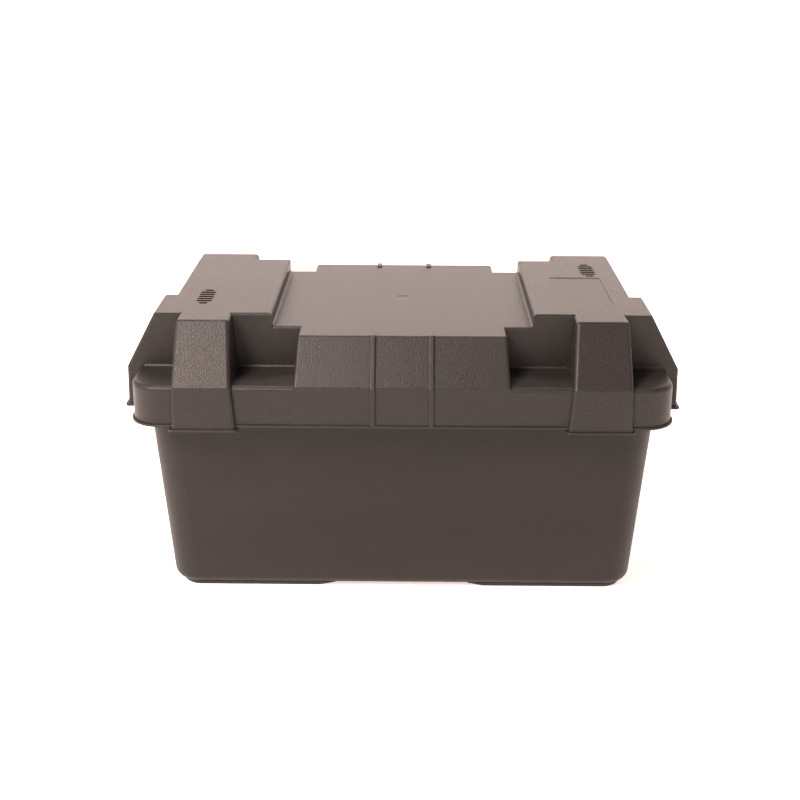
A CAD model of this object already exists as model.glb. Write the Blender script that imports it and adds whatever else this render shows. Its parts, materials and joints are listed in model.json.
"""Looks of the boxed deep cycle battery: its materials, and the light, floor and camera."""

import json
import math

import bpy
from mathutils import Matrix, Vector

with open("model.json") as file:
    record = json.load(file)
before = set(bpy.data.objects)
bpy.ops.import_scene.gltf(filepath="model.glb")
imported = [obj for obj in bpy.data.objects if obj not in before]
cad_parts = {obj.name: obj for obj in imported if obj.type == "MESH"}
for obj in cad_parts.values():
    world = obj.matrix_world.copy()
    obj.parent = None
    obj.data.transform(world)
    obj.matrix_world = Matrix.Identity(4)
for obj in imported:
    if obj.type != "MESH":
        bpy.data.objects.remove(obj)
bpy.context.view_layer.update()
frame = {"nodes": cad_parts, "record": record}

# ---- Camera, in metres and degrees
CAMERA_AIM = Vector((-0.0027, 0.0, 0.1328))
CAMERA_DISTANCE = 1.1516
CAMERA_PITCH, CAMERA_YAW, CAMERA_ROLL = 21.06, -0.47, 0.21
CAMERA_LENS, SENSOR = 56.25, 36.0

# ---- Colours of the box's two mouldings
LID_BLACK = (0.0205, 0.0191, 0.0182)
TUB_BLACK = (0.0168, 0.0156, 0.0148)

# ---- Light: a studio that is bright round the horizon and dim overhead, and four softboxes
LIGHT_TINT = (1.0, 0.813, 0.744)
HORIZON_STRENGTH, CEILING_STRENGTH = 1.36, 0.22
BAND = (0.36, 0.58)              # sines of the elevations between which it falls off
LIGHT_AIM = Vector((0.0, 0.0, 0.2))
SOFTBOXES = {                    # place, size, watts
    "back_softbox": ((0.0, 1.9, 0.95), (3.2, 1.1), 20.0),
    "rim_softbox": ((-0.2, 0.85, 1.65), (0.7, 0.35), 12.0),
    "key_softbox": ((-0.80, -1.045, 1.53), (0.5, 0.9), 54.0),
    "side_softbox": ((-1.45, -0.3, 1.2), (0.3, 0.6), 5.0),
}

# ---- Floor: a light table, which glows less in a round patch in front of the box
FLOOR_HALF = 6.0
TABLE_GLOW = (0.22, 1.0)         # inside the patch, and away from it
TO_PATCH_MIDDLE = (0.0, 0.7, 0.0)   # added to a place on the floor, so the patch is at -Y
PATCH_REACH = (0.4, 0.7)         # distances from its middle between which the glow rises


# ======================================================================= node helpers
class Shader:
    """A material being built: its nodes, its object coordinates and its main shader."""

    def __init__(self, name):
        self.material = bpy.data.materials.new(name)
        self.material.use_nodes = True
        self.nodes = self.material.node_tree.nodes
        self.links = self.material.node_tree.links
        self.main = self.nodes["Principled BSDF"]
        self.place = self.nodes.new("ShaderNodeTexCoord").outputs["Object"]

    def noise(self, scale, detail=3.0, roughness=0.55, stretch=None):
        """Noise over the object, with features about 1 / scale metres across."""
        node = self.nodes.new("ShaderNodeTexNoise")
        node.inputs["Scale"].default_value = scale
        node.inputs["Detail"].default_value = detail
        node.inputs["Roughness"].default_value = roughness
        self.links.new(self.stretched(stretch), node.inputs["Vector"])
        return node.outputs["Fac"]

    def cells(self, scale, smoothness=0.6):
        """Distance to the nearest cell centre, for rounded pebbles about 1 / scale apart."""
        node = self.nodes.new("ShaderNodeTexVoronoi")
        node.feature = "SMOOTH_F1"
        node.inputs["Scale"].default_value = scale
        node.inputs["Smoothness"].default_value = smoothness
        self.links.new(self.place, node.inputs["Vector"])
        return node.outputs["Distance"]

    def stretched(self, stretch):
        """The object coordinates, each multiplied by its share of stretch if there is one."""
        if stretch is None:
            return self.place
        node = self.nodes.new("ShaderNodeMapping")
        node.inputs["Scale"].default_value = stretch
        self.links.new(self.place, node.inputs["Vector"])
        return node.outputs["Vector"]

    def ramp(self, value, low, high, stops=(0.35, 0.65)):
        """Colour that runs from low to high as the value crosses the stops."""
        node = self.nodes.new("ShaderNodeValToRGB")
        for element, stop, colour in zip(node.color_ramp.elements, stops, (low, high)):
            element.position = stop
            element.color = (*colour, 1.0)
        self.links.new(value, node.inputs["Fac"])
        return node.outputs["Color"]

    def spread(self, value, low, high, start=0.0, end=1.0):
        """The value from start to end, moved to low to high."""
        node = self.nodes.new("ShaderNodeMapRange")
        node.inputs["From Min"].default_value = start
        node.inputs["From Max"].default_value = end
        node.inputs["To Min"].default_value = low
        node.inputs["To Max"].default_value = high
        self.links.new(value, node.inputs["Value"])
        return node.outputs["Result"]

    def blend(self, factor, first, second):
        """Two colours mixed, with this share of the second."""
        node = self.nodes.new("ShaderNodeMix")
        node.data_type, node.blend_type = "RGBA", "MIX"
        node.inputs["Factor"].default_value = factor
        self.links.new(first, node.inputs["A"])
        self.links.new(second, node.inputs["B"])
        return node.outputs["Result"]

    def bump(self, height, distance, strength=1.0, under=None):
        """Relief of the given depth in metres, over an earlier relief if there is one."""
        node = self.nodes.new("ShaderNodeBump")
        node.inputs["Distance"].default_value = distance
        node.inputs["Strength"].default_value = strength
        self.links.new(height, node.inputs["Height"])
        if under is not None:
            self.links.new(under, node.inputs["Normal"])
        return node.outputs["Normal"]

    def fix(self, socket, value):
        """Constant on one of the main shader's sockets."""
        self.main.inputs[socket].default_value = value

    def feed(self, socket, output):
        """Node output into one of the main shader's sockets."""
        self.links.new(output, self.main.inputs[socket])


def shade(colour, factor):
    """Lighter or darker colour."""
    return tuple(min(1.0, channel * factor) for channel in colour)


# ======================================================================= materials
# Each recipe's numbers are texture scales per metre, shades of a base colour, roughnesses,
# and the depths of relief in metres with their strengths.
def lid_plastic():
    """Moulded lid: pebble grain, faint polish marks and cloudy tone."""
    s = Shader("lid_plastic")
    cloud = s.ramp(s.noise(9.0, detail=5.0), shade(LID_BLACK, 0.86), shade(LID_BLACK, 1.16))
    speck = s.ramp(s.noise(900.0, detail=3.0), shade(LID_BLACK, 0.5), shade(LID_BLACK, 1.65),
                   (0.32, 0.7))
    s.feed("Base Color", s.blend(0.5, cloud, speck))
    s.feed("Roughness", s.spread(s.noise(640.0, detail=4.0), 0.26, 0.5))
    pebble = s.bump(s.cells(1200.0), 0.00027, 0.65)
    s.feed("Normal", s.bump(s.noise(2300.0, detail=2.0), 0.00010, 0.4, under=pebble))
    s.fix("Specular IOR Level", 0.3)
    return s.material


def tub_plastic():
    """Moulded tub: satin, with a fine spark texture and faint flow streaks."""
    s = Shader("tub_plastic")
    streaks = s.noise(14.0, detail=5.0, stretch=(0.35, 0.35, 1.6))
    flow = s.ramp(streaks, shade(TUB_BLACK, 0.88), shade(TUB_BLACK, 1.12))
    speck = s.ramp(s.noise(2200.0, detail=2.0), shade(TUB_BLACK, 0.8), shade(TUB_BLACK, 1.25),
                   (0.3, 0.7))
    s.feed("Base Color", s.blend(0.35, flow, speck))
    s.feed("Roughness", s.spread(s.noise(60.0, detail=6.0), 0.42, 0.56))
    s.feed("Normal", s.bump(s.noise(1700.0, detail=3.0), 0.00012, 0.45))
    s.fix("Specular IOR Level", 0.27)
    return s.material


def case_plastic(name, base, low, high):
    """Battery mouldings: plain black polypropylene, with roughness from low to high."""
    s = Shader(name)
    cloud = s.ramp(s.noise(25.0, detail=5.0), shade(base, 0.85), shade(base, 1.2))
    speck = s.ramp(s.noise(1400.0), shade(base, 0.7), shade(base, 1.4), (0.3, 0.7))
    s.feed("Base Color", s.blend(0.4, cloud, speck))
    s.feed("Roughness", s.spread(s.noise(90.0, detail=5.0), low, high))
    s.feed("Normal", s.bump(s.noise(1600.0, detail=2.0), 0.00008, 0.5))
    return s.material


def seal_rubber():
    """O-rings: soft and matt."""
    s = Shader("seal_rubber")
    base = (0.022, 0.022, 0.023)
    s.feed("Base Color", s.ramp(s.noise(300.0), shade(base, 0.8), shade(base, 1.4)))
    s.feed("Roughness", s.spread(s.noise(800.0), 0.55, 0.8))
    s.feed("Normal", s.bump(s.noise(2500.0), 0.00004, 0.5))
    return s.material


def cast_lead():
    """Dull grey lead with oxide patches and casting ripple."""
    s = Shader("cast_lead")
    oxide = s.ramp(s.noise(160.0, detail=6.0), (0.17, 0.175, 0.185), (0.36, 0.37, 0.39))
    s.feed("Base Color", oxide)
    s.feed("Roughness", s.spread(s.noise(260.0, detail=5.0), 0.34, 0.66))
    ripple = s.bump(s.noise(220.0, detail=4.0), 0.0003, 0.4)
    s.feed("Normal", s.bump(s.noise(2400.0), 0.00005, 0.5, under=ripple))
    s.fix("Metallic", 0.85)
    return s.material


def plate_paste(name, base):
    """Pasted plates: chalky active material in a cast grid."""
    s = Shader(name)
    tone = s.ramp(s.noise(120.0, detail=7.0), shade(base, 0.65), shade(base, 1.3))
    s.feed("Base Color", tone)
    s.feed("Roughness", s.spread(s.noise(400.0), 0.7, 0.95))
    pores = s.bump(s.noise(1800.0, detail=4.0), 0.0002, 0.6)
    s.feed("Normal", s.bump(s.noise(200.0, detail=3.0), 0.0003, 0.3, under=pores))
    return s.material


def separator_sheet():
    """Separator envelopes: off-white sheet with fine ribs."""
    s = Shader("separator_sheet")
    base = (0.68, 0.66, 0.6)
    s.feed("Base Color", s.ramp(s.noise(80.0, detail=6.0), shade(base, 0.82), shade(base, 1.08)))
    s.feed("Roughness", s.spread(s.noise(900.0), 0.6, 0.85))
    ribs = s.noise(90.0, detail=0.0, stretch=(0.02, 9.0, 0.02))
    s.feed("Normal", s.bump(ribs, 0.0002, 0.6))
    return s.material


def stainless():
    """Turned stainless steel with faint circular drag marks."""
    s = Shader("stainless")
    s.feed("Base Color", s.ramp(s.noise(400.0), (0.5, 0.5, 0.51), (0.68, 0.68, 0.69)))
    s.feed("Roughness", s.spread(s.noise(700.0, detail=5.0), 0.24, 0.36))
    s.feed("Normal", s.bump(s.noise(500.0, stretch=(1.0, 1.0, 12.0)), 0.00001, 0.25))
    s.fix("Metallic", 1.0)
    return s.material


def felt(name, base):
    """Treated felt washers: matted fibres."""
    s = Shader(name)
    fibre = s.ramp(s.noise(2600.0, detail=6.0), shade(base, 0.5), shade(base, 1.5))
    s.feed("Base Color", fibre)
    s.feed("Roughness", s.spread(s.noise(900.0), 0.85, 1.0))
    s.feed("Normal", s.bump(s.noise(2800.0, detail=5.0), 0.0004, 0.8))
    s.fix("Sheen Weight", 0.6)
    return s.material


def cap_plastic():
    """Vent caps: glossier yellow plastic."""
    s = Shader("cap_plastic")
    base = (0.62, 0.40, 0.02)
    s.feed("Base Color", s.ramp(s.noise(70.0, detail=5.0), shade(base, 0.88), shade(base, 1.08)))
    s.feed("Roughness", s.spread(s.noise(500.0), 0.26, 0.42))
    s.feed("Normal", s.bump(s.noise(1500.0), 0.00005, 0.4))
    return s.material


def dress_nodes():
    """Gives every CAD node its material, by the record's slots and the two box mouldings."""
    by_slot = {
        "jar_plastic": case_plastic("jar_plastic", (0.020, 0.020, 0.022), 0.32, 0.5),
        "cover_plastic": case_plastic("cover_plastic", (0.028, 0.028, 0.031), 0.4, 0.6),
        "cap_plastic": cap_plastic(),
        "seal_rubber": seal_rubber(),
        "lead": cast_lead(),
        "positive_paste": plate_paste("positive_paste", (0.13, 0.055, 0.03)),
        "negative_paste": plate_paste("negative_paste", (0.27, 0.28, 0.29)),
        "separator_sheet": separator_sheet(),
        "stainless": stainless(),
        "red_felt": felt("red_felt", (0.42, 0.02, 0.02)),
        "green_felt": felt("green_felt", (0.02, 0.22, 0.07)),
    }
    box_materials = {"box_lid": lid_plastic(), "box_tub": tub_plastic()}
    for part in frame["record"]["subparts"]:
        node = part["node"]
        material = box_materials.get(node) or by_slot[part["material_slot"]]
        shown = frame["nodes"][node]
        shown.data.materials.clear()
        shown.data.materials.append(material)


# ======================================================================= stage
def floor_paper():
    """Pale paper over the light table, which glows less inside the patch."""
    s = Shader("floor_paper")
    s.feed("Base Color", s.ramp(s.noise(3.0), (0.93, 0.925, 0.92), (0.96, 0.955, 0.95)))
    s.fix("Roughness", 0.9)
    s.fix("Emission Color", (*LIGHT_TINT, 1.0))
    shifted, reach = (s.nodes.new("ShaderNodeVectorMath") for _ in range(2))
    shifted.inputs[1].default_value = TO_PATCH_MIDDLE
    reach.operation = "LENGTH"
    s.links.new(s.place, shifted.inputs[0])
    s.links.new(shifted.outputs["Vector"], reach.inputs[0])
    s.feed("Emission Strength", s.spread(reach.outputs["Value"], *TABLE_GLOW, *PATCH_REACH))
    return s.material


def floor():
    """Wide pale floor, level with the foot pads."""
    half = FLOOR_HALF
    corners = [(-half, -half, 0), (half, -half, 0), (half, half, 0), (-half, half, 0)]
    mesh = bpy.data.meshes.new("floor")
    mesh.from_pydata(corners, [], [(0, 1, 2, 3)])
    mesh.materials.append(floor_paper())
    ground = bpy.data.objects.new("floor", mesh)
    bpy.context.collection.objects.link(ground)


def studio():
    """Surroundings whose brightness falls from the horizon up to the ceiling."""
    world = bpy.data.worlds.new("studio")
    world.use_nodes = True
    nodes, links = world.node_tree.nodes, world.node_tree.links
    split, fall = nodes.new("ShaderNodeSeparateXYZ"), nodes.new("ShaderNodeMapRange")
    levels = (*BAND, HORIZON_STRENGTH, CEILING_STRENGTH)
    for socket, level in zip(("From Min", "From Max", "To Min", "To Max"), levels):
        fall.inputs[socket].default_value = level
    links.new(nodes.new("ShaderNodeTexCoord").outputs["Generated"], split.inputs["Vector"])
    links.new(split.outputs["Z"], fall.inputs["Value"])
    links.new(fall.outputs["Result"], nodes["Background"].inputs["Strength"])
    nodes["Background"].inputs["Color"].default_value = (*LIGHT_TINT, 1.0)
    bpy.context.scene.world = world


def softboxes():
    """Area lights, all turned towards the middle of the box."""
    for name, (place, size, watts) in SOFTBOXES.items():
        data = bpy.data.lights.new(name, "AREA")
        data.shape = "RECTANGLE"
        data.size, data.size_y = size
        data.energy, data.color = watts, LIGHT_TINT
        lamp = bpy.data.objects.new(name, data)
        bpy.context.collection.objects.link(lamp)
        lamp.location = place
        lamp.rotation_mode = "QUATERNION"
        lamp.rotation_quaternion = (LIGHT_AIM - Vector(place)).to_track_quat("-Z", "Y")


def camera():
    """Camera above and in front of the box, turned by the pitch, yaw and roll."""
    pitch, yaw, roll = (math.radians(v) for v in (CAMERA_PITCH, CAMERA_YAW, CAMERA_ROLL))
    ahead = Vector((math.sin(yaw) * math.cos(pitch), math.cos(yaw) * math.cos(pitch),
                    -math.sin(pitch)))
    right = Vector((math.cos(yaw), -math.sin(yaw), 0.0))
    up = right.cross(ahead)
    turned_right = right * math.cos(roll) + up * math.sin(roll)
    turned_up = up * math.cos(roll) - right * math.sin(roll)
    data = bpy.data.cameras.new("camera")
    data.lens, data.sensor_width = CAMERA_LENS, SENSOR
    eye = bpy.data.objects.new("camera", data)
    bpy.context.collection.objects.link(eye)
    turn = Matrix((turned_right, turned_up, -ahead)).transposed()
    eye.matrix_world = Matrix.Translation(CAMERA_AIM - ahead * CAMERA_DISTANCE) @ turn.to_4x4()
    bpy.context.scene.camera = eye


camera()
studio()
softboxes()
floor()
dress_nodes()
bpy.context.scene.view_settings.view_transform = "Standard"
